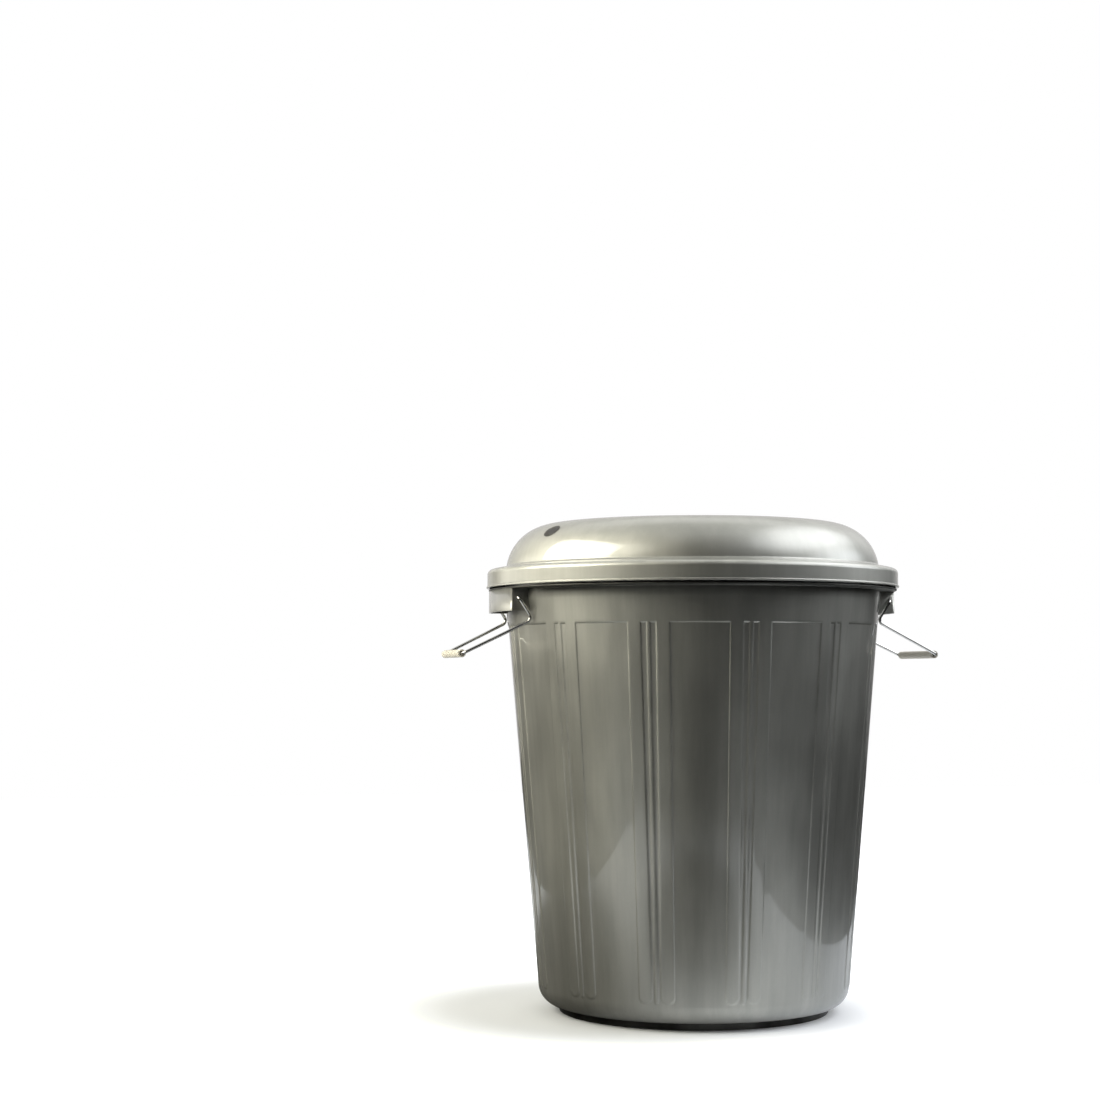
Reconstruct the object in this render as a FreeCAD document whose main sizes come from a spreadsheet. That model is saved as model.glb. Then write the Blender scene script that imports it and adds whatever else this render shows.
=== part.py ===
import FreeCAD
import Part

import math
import os

import Sketcher

# Storage drum: a tapered moulded pail with a lift-off domed lid, and two wire bails with tube grips.
# Millimetres, +Z up, origin on the floor at the centre of the foot ring, lugs and bails on +X and -X.

SIZES = {
    # pail
    "wall_base_radius": 177.4,      # outside of the raised wall, carried down to the floor
    "wall_taper": 4.88,             # lean of the wall, degrees
    "wall_thickness": 3.0,
    "pail_height": 508.2,
    "floor_height": 7.5,            # underside of the pail's bottom
    "floor_thickness": 3.0,
    "base_rounding": 23.0,
    "foot_inset": 1.0,              # foot ring inside the edge of the base rounding
    "foot_width": 4.0,
    "collar_height": 23.4,          # wall that stands above the ring shelf
    "shelf_thickness": 2.0,
    "shelf_overhang": 18.6,         # shelf beyond the wall
    # raised strips on the wall, in pairs with a thin bead between
    "pilaster_count": 12,
    "strip_width": 15.0,
    "bead_width": 4.2,
    "groove_width": 2.73,           # from the bead to a strip at the strips' lower ends
    "strip_relief": 0.9,            # height of the strips and of the top band over the panels
    "strip_rise": 2.5,              # from the base rounding up to the strips' lower ends
    "band_depth": 42.2,             # plain band below the shelf's top
    # lugs
    "lug_setback": 0.4,             # lug's front behind the shelf's edge
    "lug_half_width": 59.0,
    "lug_height": 25.2,
    "lug_wall": 2.4,
    "pivot_inset": 7.2,             # pivot hole behind the lug's outer corner
    "pivot_rise": 15.0,             # pivot hole over the lug's lower edge
    # lid
    "lid_overhang": 2.6,            # lid's lip beyond the shelf's edge
    "lid_thickness": 2.4,
    "lip_height": 2.4,
    "lip_depth": 1.1,
    "skirt_gap": 1.6,               # from the shelf up to the skirt
    "seat_gap": 0.3,                # from the pail's top edge up to the lid's ledge
    "ledge_slope": 11.5,            # degrees
    "skirt_rounding": 6.0,
    "dome_inset": 4.0,              # dome's foot inside the pail's top edge
    "dome_lean": 7.5,               # lean of the dome's side at its foot, degrees
    "shoulder_radius": 56.7,
    "crown_slope": 2.3,             # slope of the crowned top where the shoulder begins, degrees
    "foot_rounding": 2.5,           # hollow between ledge and dome
    "spigot_depth": 10.0,           # ring under the lid that drops inside the pail's mouth
    "spigot_clearance": 0.8,
    # wire bails
    "wire_diameter": 3.5,
    "pivot_clearance": 0.05,
    "arm_gap": 3.65,                # from the lug's side to the wire
    "wire_tail": 5.0,               # wire end inside the lug's side wall
    "knee_drop": 24.8,
    "knee_offset": 0.3,             # from the pail's wall out to the knee's corner
    "grip_reach": 61.3,             # grip axis outside the pivot
    "grip_drop": 62.7,              # grip axis below the pivot
    "grip_half_spacing": 55.0,
    "pivot_bend": 4.0,
    "knee_bend": 6.0,
    "grip_bend": 5.0,
    # grips
    "grip_diameter": 9.0,
    "grip_bore_clearance": 0.05,
    "grip_end_play": 1.0,
    "grip_rim": 1.5,                # wall round the wider mouth at each end of the bore
    "grip_mouth_depth": 3.0,
    "grip_rounding": 0.9,
    # blank oval label on the lid's shoulder
    "label_half_length": 12.0,
    "label_half_height": 9.5,
    "label_thickness": 0.3,
    "label_climb": 49.0,            # place on the shoulder arc, degrees above level
    "label_azimuth": -159.5,        # degrees from +X
}

doc = FreeCAD.newDocument("storage_drum")
sheet = doc.addObject("Spreadsheet::Sheet", "Sizes")
for row, (alias, value) in enumerate(SIZES.items(), start=1):
    sheet.set(f"A{row}", alias)
    sheet.set(f"B{row}", str(value))
    sheet.setAlias(f"B{row}", alias)
doc.recompute()

X_AXIS = FreeCAD.Vector(1, 0, 0)
Y_AXIS = FreeCAD.Vector(0, 1, 0)
Z_AXIS = FreeCAD.Vector(0, 0, 1)


def number(expression):
    """Value of an expression on the sheet's cells."""
    result = sheet.evalExpression(expression)
    return float(getattr(result, "Value", result))


def cell(name):
    return f"Sizes.{name}"


def wall_at(height):
    """Outer radius of the raised wall at a height, as an expression."""
    return f"({cell('wall_base_radius')} + ({height}) * tan({cell('wall_taper')}))"


# Heights and radii that several pieces share
floor_top = f"({cell('floor_height')} + {cell('floor_thickness')})"
base_corner = f"({wall_at(cell('floor_height'))} - {cell('strip_relief')})"
base_tangent = f"({cell('base_rounding')} / tan(45 + {cell('wall_taper')} / 2))"
foot_radius = f"({base_corner} - {base_tangent} - {cell('foot_inset')})"
strip_foot = f"({cell('floor_height')} + {base_tangent} * cos({cell('wall_taper')}) + {cell('strip_rise')})"
shelf_top = f"({cell('pail_height')} - {cell('collar_height')})"
shelf_under = f"({shelf_top} - {cell('shelf_thickness')})"
shelf_radius = f"({wall_at(shelf_top)} + {cell('shelf_overhang')})"
band_foot = f"({shelf_top} - {cell('band_depth')})"
lug_radius = f"({shelf_radius} - {cell('lug_setback')})"
lug_under = f"({shelf_under} - {cell('lug_height')})"
lug_middle = f"(({shelf_under} + {lug_under}) / 2)"
lug_root = f"({wall_at(lug_middle)} - {cell('wall_thickness')} / 2)"
pivot_x = f"(sqrt({lug_radius}^2 - {cell('lug_half_width')}^2) - {cell('pivot_inset')})"
pivot_z = f"({lug_under} + {cell('pivot_rise')})"
grip_x = f"({pivot_x} + {cell('grip_reach')})"
grip_z = f"({pivot_z} - {cell('grip_drop')})"
lid_seat = f"({cell('pail_height')} + {cell('seat_gap')})"


def origin_plane(body, role):
    return next(f for f in body.Origin.OriginFeatures if f.Role == role)


def new_sketch(body, name, role):
    sketch = body.newObject("Sketcher::SketchObject", name)
    sketch.AttachmentSupport = [(origin_plane(body, role), "")]
    sketch.MapMode = "FlatFace"
    return sketch


def bind(sketch, constraint, expression):
    """Adds a dimension to a sketch and ties it to the sheet."""
    index = sketch.addConstraint(constraint)
    sketch.setExpression(f"Constraints[{index}]", expression)


def arc_centre(start, end, radius, turn):
    """Centre of the smaller arc from start to end; turn is 1 to the left and -1 to the right."""
    chord = end - start
    across = FreeCAD.Vector(-chord.y, chord.x, 0).normalize()
    rise = math.sqrt(max(radius ** 2 - (chord.Length / 2) ** 2, 0.0))
    return (start + end) / 2 + across * (rise * turn)


def draw_outline(sketch, corners, arcs=None):
    """Closed outline through corners, each a pair of expressions.

    arcs holds, for the number of a starting corner, the radius and turn of the edge that leaves it.
    A half circle takes the height of its centre in place of a radius, as ("centre", height, turn).
    """
    arcs = arcs or {}
    points = [FreeCAD.Vector(number(x), number(y), 0) for x, y in corners]
    ends = []
    for i, start in enumerate(points):
        end = points[(i + 1) % len(points)]
        if i not in arcs:
            edge = sketch.addGeometry(Part.LineSegment(start, end))
            ends.append((edge, 1, 2))
            continue
        kind, expression, turn = arcs[i]
        radius = number(expression) if kind == "radius" else (end - start).Length / 2
        centre = arc_centre(start, end, radius, turn)
        first, last = (start, end) if turn > 0 else (end, start)
        angles = [math.atan2(p.y - centre.y, p.x - centre.x) for p in (first, last)]
        edge = sketch.addGeometry(Part.ArcOfCircle(Part.Circle(centre, Z_AXIS, radius), *angles))
        ends.append((edge, 1, 2) if turn > 0 else (edge, 2, 1))
        if kind == "radius":
            bind(sketch, Sketcher.Constraint("Radius", edge, radius), expression)
        else:
            bind(sketch, Sketcher.Constraint("DistanceY", -1, 1, edge, 3, centre.y), expression)
    for i, (x, y) in enumerate(corners):
        edge, start, _ = ends[i]
        before, _, finish = ends[i - 1]
        sketch.addConstraint(Sketcher.Constraint("Coincident", before, finish, edge, start))
        if x == "0":
            sketch.addConstraint(Sketcher.Constraint("PointOnObject", edge, start, -2))
        else:
            bind(sketch, Sketcher.Constraint("DistanceX", -1, 1, edge, start, points[i].x), x)
        bind(sketch, Sketcher.Constraint("DistanceY", -1, 1, edge, start, points[i].y), y)


def revolve(body, name, sketch, angle=None):
    feature = body.newObject("PartDesign::Revolution", name)
    feature.Profile = sketch
    feature.ReferenceAxis = (sketch, ["V_Axis"])
    feature.Angle = 360
    if angle:
        feature.Midplane = True
        feature.setExpression("Angle", angle)
    doc.recompute()
    return feature


def ring_edge(shape, radius, height):
    """Name of the circular edge about Z nearest to a radius and height."""
    target = FreeCAD.Vector(radius, 0, height)

    def miss(edge):
        curve = edge.Curve
        return (FreeCAD.Vector(curve.Radius, 0, curve.Center.z) - target).Length

    rings = []
    for i, edge in enumerate(shape.Edges, start=1):
        if not edge.Degenerated and isinstance(edge.Curve, Part.Circle):
            rings.append((miss(edge), f"Edge{i}"))
    return min(rings)[1]


def round_ring(body, name, radius, height, rounding):
    """Fillet on one circular edge, given by expressions."""
    base = body.Tip
    feature = body.newObject("PartDesign::Fillet", name)
    feature.Base = (base, [ring_edge(base.Shape, number(radius), number(height))])
    feature.setExpression("Radius", rounding)
    doc.recompute()
    return feature


def polar_copies(body, name, features, count):
    pattern = body.newObject("PartDesign::PolarPattern", name)
    pattern.Originals = features
    pattern.Axis = (origin_plane(body, "Z_Axis"), [""])
    pattern.Angle = 360
    pattern.setExpression("Occurrences", count)
    body.Tip = pattern
    doc.recompute()
    return pattern


def boolean(kind, name, base, tool):
    feature = doc.addObject(kind, name)
    feature.Base = base
    feature.Tool = tool
    doc.recompute()
    return feature


# Pail
def make_pail():
    """Tapered wall, bottom, foot ring, ring shelf and the two lugs."""
    body = doc.addObject("PartDesign::Body", "pail")
    section = new_sketch(body, "pail_section", "XZ_Plane")
    top = cell("pail_height")
    floor = cell("floor_height")
    thickness = cell("wall_thickness")
    foot_inner = f"{foot_radius} - {cell('foot_width')}"
    inner_corner = f"{wall_at(floor_top)} - {thickness}"
    draw_outline(section, [
        ("0", floor),
        (foot_inner, floor),
        (foot_inner, "0"),
        (foot_radius, "0"),
        (foot_radius, floor),
        (base_corner, floor),
        (f"{wall_at(band_foot)} - {cell('strip_relief')}", band_foot),
        (wall_at(band_foot), band_foot),
        (wall_at(shelf_under), shelf_under),
        (shelf_radius, shelf_under),
        (shelf_radius, shelf_top),
        (wall_at(shelf_top), shelf_top),
        (wall_at(top), top),
        (f"{wall_at(top)} - {thickness}", top),
        (inner_corner, floor_top),
        ("0", floor_top),
    ])
    revolve(body, "pail_turn", section)
    round_ring(body, "base_round", base_corner, floor, cell("base_rounding"))
    inner_round = f"{cell('base_rounding')} - {thickness}"
    round_ring(body, "inner_base_round", inner_corner, floor_top, inner_round)
    lug = add_lug_wall(body)
    hole = add_pivot_hole(body)
    polar_copies(body, "lug_pair", [lug, hole], "2")
    return body


def add_lug_wall(body):
    """Open-bottomed box under the shelf: two side walls and a curved front."""
    sketch = new_sketch(body, "lug_outline", "XY_Plane")
    sketch.setExpression("AttachmentOffset.Base.z", lug_under)
    outer = lug_radius
    inner = f"({outer} - {cell('lug_wall')})"
    side = cell("lug_half_width")
    side_inner = f"({side} - {cell('lug_wall')})"

    def on_circle(radius, offset):
        return f"sqrt({radius}^2 - {offset}^2)"

    draw_outline(sketch, [
        (on_circle(lug_root, side), f"-{side}"),
        (on_circle(outer, side), f"-{side}"),
        (on_circle(outer, side), side),
        (on_circle(lug_root, side), side),
        (on_circle(lug_root, side_inner), side_inner),
        (on_circle(inner, side_inner), side_inner),
        (on_circle(inner, side_inner), f"-{side_inner}"),
        (on_circle(lug_root, side_inner), f"-{side_inner}"),
    ], {1: ("radius", outer, 1), 5: ("radius", inner, -1)})
    pad = body.newObject("PartDesign::Pad", "lug_wall_pad")
    pad.Profile = sketch
    pad.setExpression("Length", f"{cell('lug_height')} + {cell('shelf_thickness')} / 2")
    doc.recompute()
    return pad


def add_pivot_hole(body):
    """Cross hole through both side walls of the lug for the ends of the bail."""
    sketch = new_sketch(body, "pivot_outline", "XZ_Plane")
    radius = f"({cell('wire_diameter')} / 2 + {cell('pivot_clearance')})"
    centre = FreeCAD.Vector(number(pivot_x), number(pivot_z), 0)
    circle = sketch.addGeometry(Part.Circle(centre, Z_AXIS, number(radius)))
    bind(sketch, Sketcher.Constraint("Radius", circle, number(radius)), radius)
    bind(sketch, Sketcher.Constraint("DistanceX", -1, 1, circle, 3, centre.x), pivot_x)
    bind(sketch, Sketcher.Constraint("DistanceY", -1, 1, circle, 3, centre.y), pivot_z)
    pocket = body.newObject("PartDesign::Pocket", "pivot_hole")
    pocket.Profile = sketch
    pocket.Midplane = True
    pocket.setExpression("Length", f"3 * {cell('lug_half_width')}")
    doc.recompute()
    return pocket


def make_strips():
    """Pairs of flat strips with a bead between them, round-ended below and flush with the top band."""
    ring = doc.addObject("PartDesign::Body", "strip_ring")
    section = new_sketch(ring, "strip_section", "XZ_Plane")
    root = f"({cell('strip_relief')} + {cell('wall_thickness')} / 4)"
    draw_outline(section, [
        (f"{wall_at(strip_foot)} - {root}", strip_foot),
        (wall_at(strip_foot), strip_foot),
        (wall_at(band_foot), band_foot),
        (f"{wall_at(band_foot)} - {root}", band_foot),
    ])
    revolve(ring, "strip_ring_turn", section)

    bars = doc.addObject("PartDesign::Body", "strip_bars")
    outline = new_sketch(bars, "strip_outlines", "YZ_Plane")
    strip = cell("strip_width")
    bead = cell("bead_width")
    knee = f"({strip_foot} + {strip} / 2)"
    bead_knee = f"({strip_foot} + {bead} / 2)"
    inner_low = f"({bead} / 2 + {cell('groove_width')})"
    outer_low = f"({inner_low} + {strip})"
    outer_high = f"({outer_low} * {wall_at(band_foot)} / {wall_at(knee)})"
    inner_high = f"({outer_high} - {strip})"
    for side in ("", "-"):
        turn = -1 if side else 1
        draw_outline(outline, [
            (f"{side}{inner_low}", knee),
            (f"{side}{outer_low}", knee),
            (f"{side}{outer_high}", band_foot),
            (f"{side}{inner_high}", band_foot),
        ], {0: ("centre", knee, turn)})
    draw_outline(outline, [
        (f"-{bead} / 2", bead_knee),
        (f"{bead} / 2", bead_knee),
        (f"{bead} / 2", band_foot),
        (f"-{bead} / 2", band_foot),
    ], {0: ("centre", bead_knee, 1)})
    pad = bars.newObject("PartDesign::Pad", "strip_bar_pad")
    pad.Profile = outline
    pad.setExpression("Length", wall_at(cell("pail_height")))
    doc.recompute()
    polar_copies(bars, "strip_bar_circle", [pad], cell("pilaster_count"))
    return boolean("Part::Common", "strips", ring, bars)


def make_drum_body():
    drum = boolean("Part::Fuse", "drum_body", make_pail(), make_strips())
    drum.Refine = True
    return drum


# Lid, drawn about its own seat: height zero is where the ledge meets the pail's top edge
thickness = cell("lid_thickness")
shoulder = cell("shoulder_radius")
lean = cell("dome_lean")
crown = cell("crown_slope")
lid_radius = f"({shelf_radius} + {cell('lid_overhang')})"
skirt_r = f"({lid_radius} - {cell('lip_depth')})"
seat_r = wall_at(cell("pail_height"))
foot_r = f"({seat_r} - {cell('dome_inset')})"


def ledge_under(radius):
    return f"(({seat_r} - {radius}) * tan({cell('ledge_slope')}))"


def ledge_top(radius):
    return f"({ledge_under(radius)} + {thickness} / cos({cell('ledge_slope')}))"


shoulder_x = f"({foot_r} - {shoulder} * cos({lean}))"
shoulder_z = f"({ledge_top(foot_r)} - {shoulder} * sin({lean}))"


def on_shoulder(offset, climb):
    """Point at an angle on the shoulder arc, moved out by an offset."""
    radius = f"({shoulder} + {offset})"
    return f"({shoulder_x} + {radius} * cos({climb}))", f"({shoulder_z} + {radius} * sin({climb}))"


def make_lid():
    """Skirt with a small lip, sloping ledge, tall rounded shoulder, crowned top and a ring underneath."""
    body = doc.addObject("PartDesign::Body", "lid")
    section = new_sketch(body, "lid_section", "XZ_Plane")
    skirt_low = f"({shelf_top} + {cell('skirt_gap')} - {lid_seat})"
    lip_top = f"({skirt_low} + {cell('lip_height')})"
    skirt_inner = f"({skirt_r} - {thickness})"
    spigot_low = f"(-{cell('spigot_depth')})"
    mouth_r = wall_at(f"{cell('pail_height')} - {cell('spigot_depth')}")
    spigot_r = f"({mouth_r} - {cell('wall_thickness')} - {cell('spigot_clearance')})"
    spigot_inner = f"({spigot_r} - {thickness})"
    crown_start = f"(90 - {crown})"
    crown_rise = f"{shoulder_z} + {shoulder} + {shoulder_x} * tan({crown} / 2)"
    crown_radius = f"({shoulder_x} / sin({crown}) + {shoulder})"
    draw_outline(section, [
        (lid_radius, skirt_low),
        (lid_radius, lip_top),
        (skirt_r, lip_top),
        (skirt_r, ledge_top(skirt_r)),
        (foot_r, ledge_top(foot_r)),
        on_shoulder("0", crown_start),
        ("0", crown_rise),
        ("0", f"{crown_rise} - {thickness}"),
        on_shoulder(f"-{thickness}", crown_start),
        on_shoulder(f"-{thickness}", lean),
        (spigot_inner, "0"),
        (spigot_inner, spigot_low),
        (spigot_r, spigot_low),
        (spigot_r, ledge_under(spigot_r)),
        (skirt_inner, ledge_under(skirt_inner)),
        (skirt_inner, skirt_low),
    ], {
        4: ("radius", shoulder, 1),
        5: ("radius", crown_radius, 1),
        7: ("radius", f"{crown_radius} - {thickness}", -1),
        8: ("radius", f"{shoulder} - {thickness}", -1),
    })
    revolve(body, "lid_turn", section)
    round_ring(body, "skirt_round", skirt_r, ledge_top(skirt_r), cell("skirt_rounding"))
    inner_round = f"{cell('skirt_rounding')} - {thickness}"
    round_ring(body, "skirt_inner_round", skirt_inner, ledge_under(skirt_inner), inner_round)
    round_ring(body, "dome_foot_round", foot_r, ledge_top(foot_r), cell("foot_rounding"))
    body.setExpression("Placement.Base.z", lid_seat)
    return body


def make_label():
    """Blank oval skin that lies on the lid's shoulder."""
    skin = doc.addObject("PartDesign::Body", "label_skin")
    section = new_sketch(skin, "label_section", "XZ_Plane")
    climb = cell("label_climb")
    reach = f"({cell('label_half_height')} / {shoulder} * 180 / pi * 1.5)"
    low = f"({climb} - {reach})"
    high = f"({climb} + {reach})"
    outside = f"({shoulder} + {cell('label_thickness')})"
    draw_outline(section, [
        on_shoulder("0", low),
        on_shoulder(cell("label_thickness"), low),
        on_shoulder(cell("label_thickness"), high),
        on_shoulder("0", high),
    ], {1: ("radius", outside, 1), 3: ("radius", shoulder, -1)})
    label_x, label_z = on_shoulder("0", climb)
    spread = f"({cell('label_half_length')} / {label_x} * 180 / pi * 3)"
    revolve(skin, "label_skin_turn", section, spread)

    oval = doc.addObject("Part::Ellipse", "label_oval")
    oval.setExpression("MajorRadius", cell("label_half_length"))
    oval.setExpression("MinorRadius", cell("label_half_height"))
    turn = FreeCAD.Rotation(Y_AXIS, 90 - number(climb)) * FreeCAD.Rotation(Z_AXIS, 90)
    oval.Placement = FreeCAD.Placement(FreeCAD.Vector(), turn)
    oval.setExpression("Placement.Base.x", label_x)
    oval.setExpression("Placement.Base.z", label_z)
    prism = doc.addObject("Part::Extrusion", "label_prism")
    prism.Base = oval
    prism.DirMode = "Normal"
    prism.Solid = True
    prism.Symmetric = True
    prism.setExpression("LengthFwd", cell("label_half_height"))
    label = boolean("Part::Common", "lid_label", skin, prism)
    azimuth = FreeCAD.Rotation(Z_AXIS, number(cell("label_azimuth")))
    label.Placement = FreeCAD.Placement(FreeCAD.Vector(), azimuth)
    label.setExpression("Placement.Base.z", lid_seat)
    return label


# Bails
def bent_wire(corners, bends):
    """Straight runs joined by tangent arcs; bends holds the radius at each inner corner."""
    edges = []
    start = corners[0]
    for i, radius in enumerate(bends, start=1):
        corner = corners[i]
        back = (corners[i - 1] - corner).normalize()
        ahead = (corners[i + 1] - corner).normalize()
        half = back.getAngle(ahead) / 2
        reach = radius / math.tan(half)
        middle = (back + ahead).normalize()
        apex = corner + middle * (radius / math.sin(half) - radius)
        entry = corner + back * reach
        leave = corner + ahead * reach
        edges.append(Part.LineSegment(start, entry).toShape())
        edges.append(Part.Arc(entry, apex, leave).toShape())
        start = leave
    edges.append(Part.LineSegment(start, corners[-1]).toShape())
    return Part.Wire(edges)


arm_y = f"({cell('lug_half_width')} + {cell('arm_gap')} + {cell('wire_diameter')} / 2)"
knee_z = f"({pivot_z} - {cell('knee_drop')})"
knee_x = f"(sqrt({wall_at(knee_z)}^2 - {arm_y}^2) + {cell('knee_offset')})"
tail_y = f"({cell('lug_half_width')} - {cell('lug_wall')} - {cell('wire_tail')})"


def bail_path():
    """Centre line of one bail, from one wire end in the lug round the grip to the other."""
    half = [
        FreeCAD.Vector(number(pivot_x), number(tail_y), number(pivot_z)),
        FreeCAD.Vector(number(pivot_x), number(arm_y), number(pivot_z)),
        FreeCAD.Vector(number(knee_x), number(arm_y), number(knee_z)),
        FreeCAD.Vector(number(grip_x), number(cell("grip_half_spacing")), number(grip_z)),
    ]
    other = [FreeCAD.Vector(p.x, -p.y, p.z) for p in reversed(half)]
    bends = [number(cell(f"{place}_bend")) for place in ("pivot", "knee", "grip")]
    return bent_wire(half + other, bends + bends[::-1])


def make_bail(side, turn):
    path = doc.addObject("Part::Feature", f"{side}_bail_path")
    path.Shape = bail_path()
    section = doc.addObject("Part::Circle", f"{side}_bail_section")
    section.setExpression("Radius", f"{cell('wire_diameter')} / 2")
    section.Placement = FreeCAD.Placement(path.Shape.Vertexes[0].Point, FreeCAD.Rotation(X_AXIS, -90))
    wire = doc.addObject("Part::Sweep", f"{side}_handle_wire")
    wire.Sections = [section]
    wire.Spine = (path, [f"Edge{i}" for i in range(1, len(path.Shape.Edges) + 1)])
    wire.Solid = True
    wire.Placement = FreeCAD.Placement(FreeCAD.Vector(), FreeCAD.Rotation(Z_AXIS, turn))
    doc.recompute()
    return wire


def grip_half_length():
    """Half of the straight run of the crossbar, less the end play."""
    reach_out = number(f"{grip_x} - {knee_x}")
    draw_in = number(f"{cell('grip_half_spacing')} - {arm_y}")
    run = FreeCAD.Vector(reach_out, draw_in, number(f"{grip_z} - {knee_z}"))
    half = run.negative().getAngle(FreeCAD.Vector(0, -1, 0)) / 2
    reach = number(cell("grip_bend")) / math.tan(half)
    return number(f"{cell('grip_half_spacing')} - {cell('grip_end_play')}") - reach


def make_grip(side, turn):
    """Tube that turns on the bail's crossbar, with a wider mouth at each end."""
    body = doc.addObject("PartDesign::Body", f"{side}_grip")
    section = new_sketch(body, f"{side}_grip_section", "XZ_Plane")
    half = f"{grip_half_length():.6f}"
    bore = f"({cell('wire_diameter')} / 2 + {cell('grip_bore_clearance')})"
    outer = f"({cell('grip_diameter')} / 2)"
    mouth = f"({outer} - {cell('grip_rim')})"
    mouth_floor = f"({half} - {cell('grip_mouth_depth')})"
    draw_outline(section, [
        (bore, f"-{mouth_floor}"),
        (mouth, f"-{half}"),
        (outer, f"-{half}"),
        (outer, half),
        (mouth, half),
        (bore, mouth_floor),
    ])
    revolve(body, f"{side}_grip_turn", section)
    for end in (half, f"-{half}"):
        place = "near" if end == half else "far"
        round_ring(body, f"{side}_grip_{place}_round", outer, end, cell("grip_rounding"))
    spin = FreeCAD.Rotation(Z_AXIS, turn)
    body.Placement = FreeCAD.Placement(FreeCAD.Vector(), spin * FreeCAD.Rotation(X_AXIS, -90))
    body.setExpression("Placement.Base.x", f"{grip_x} * cos({turn})")
    body.setExpression("Placement.Base.z", grip_z)
    return body


def check(parts):
    """Stops the build if any object failed or a sub-part isn't sound."""
    failed = [o.Name for o in doc.Objects if {"Invalid", "Error"} & set(o.State)]
    if failed:
        raise RuntimeError(f"failed objects: {failed}")
    for part in parts:
        if part.Shape.isNull() or not part.Shape.isValid() or len(part.Shape.Solids) != 1:
            raise RuntimeError(f"{part.Label} isn't one sound solid")


parts = [make_drum_body(), make_lid(), make_label()]
for side, turn in (("right", 0), ("left", 180)):
    parts.append(make_bail(side, turn))
    parts.append(make_grip(side, turn))
doc.recompute()
check(parts)

os.makedirs("parts", exist_ok=True)
for part in parts:
    part.Shape.exportStep(f"parts/{part.Label}.step")
    box = part.Shape.optimalBoundingBox()
    low = ", ".join(f"{v:.2f}" for v in (box.XMin, box.YMin, box.ZMin))
    high = ", ".join(f"{v:.2f}" for v in (box.XMax, box.YMax, box.ZMax))
    print(f"{part.Label}: volume {part.Shape.Volume / 1000:.2f} cm3, from ({low}) to ({high})")
print(f"pivot at x {number(pivot_x):.3f}, z {number(pivot_z):.3f}")
print(f"grip axis at x {number(grip_x):.3f}, z {number(grip_z):.3f}, half length {grip_half_length():.3f}")
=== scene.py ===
import math

import bmesh
import bpy
from mathutils import Matrix, Vector


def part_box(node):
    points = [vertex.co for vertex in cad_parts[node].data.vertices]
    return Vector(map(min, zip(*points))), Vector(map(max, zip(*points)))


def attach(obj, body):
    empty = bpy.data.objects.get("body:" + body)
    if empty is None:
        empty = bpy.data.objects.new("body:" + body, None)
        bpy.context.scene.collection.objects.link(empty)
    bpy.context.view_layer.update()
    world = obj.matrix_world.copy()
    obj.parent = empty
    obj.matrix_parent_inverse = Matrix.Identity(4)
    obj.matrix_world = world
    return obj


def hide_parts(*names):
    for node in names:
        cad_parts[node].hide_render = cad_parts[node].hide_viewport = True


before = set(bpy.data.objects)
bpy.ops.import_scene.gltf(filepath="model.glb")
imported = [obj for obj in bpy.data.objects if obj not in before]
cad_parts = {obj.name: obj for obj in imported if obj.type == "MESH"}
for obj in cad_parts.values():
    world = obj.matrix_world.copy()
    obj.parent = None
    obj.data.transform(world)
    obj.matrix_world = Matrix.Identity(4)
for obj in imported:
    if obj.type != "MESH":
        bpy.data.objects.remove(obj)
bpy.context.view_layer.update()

# storage drum: ribbed pearl-grey pail, domed lift-off lid, two wire bails with tube grips
# sizes are in millimetres and degrees, turned into metres where a mesh is made
mm = 0.001
fullTurn = 2 * math.pi


# small helpers for outlines and meshes

def clamp(value, low=0.0, high=1.0):
    return max(low, min(high, value))


def smoothStep(value):
    t = clamp(value)
    return t * t * (3 - 2 * t)


def spread(start, end, count):
    return [start + (end - start) * i / count for i in range(count + 1)]


def arcRun(centre, radius, startAngle, endAngle, count):
    angles = [math.radians(a) for a in spread(startAngle, endAngle, count)]
    return [(centre[0] + radius * math.cos(a), centre[1] + radius * math.sin(a)) for a in angles]


def roundedPath(corners, degreesPerStep=12):
    # a corner is (x, y) or (x, y, rounding); rounded ones become arcs
    points = []
    for i, corner in enumerate(corners):
        spot = Vector(corner[:2])
        rounding = corner[2] if len(corner) > 2 else 0
        if not rounding or i in (0, len(corners) - 1):
            points.append(tuple(spot))
            continue
        back = (Vector(corners[i - 1][:2]) - spot).normalized()
        ahead = (Vector(corners[i + 1][:2]) - spot).normalized()
        half = back.angle(ahead) / 2
        middle = spot + (back + ahead).normalized() * (rounding / math.sin(half))
        start = spot + back * (rounding / math.tan(half)) - middle
        turn = math.pi - 2 * half
        if back.x * ahead.y - back.y * ahead.x > 0:
            turn = -turn
        steps = max(2, round(abs(math.degrees(turn)) / degreesPerStep))
        for angle in spread(0, turn, steps):
            points.append(tuple(middle + Matrix.Rotation(angle, 2) @ start))
    return points


def spunShell(path, steps):
    # turns a path of (radius, height) about the upright axis
    bm = bmesh.new()
    ring = [bm.verts.new((x * mm, 0, z * mm)) for x, z in path]
    line = [bm.edges.new(pair) for pair in zip(ring, ring[1:])]
    bmesh.ops.spin(bm, geom=ring + line, cent=(0, 0, 0), axis=(0, 0, 1), dvec=(0, 0, 0),
                   angle=fullTurn, steps=steps, use_merge=True)
    bmesh.ops.remove_doubles(bm, verts=bm.verts, dist=1e-6)
    bmesh.ops.recalc_face_normals(bm, faces=bm.faces)
    return bm


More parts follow.
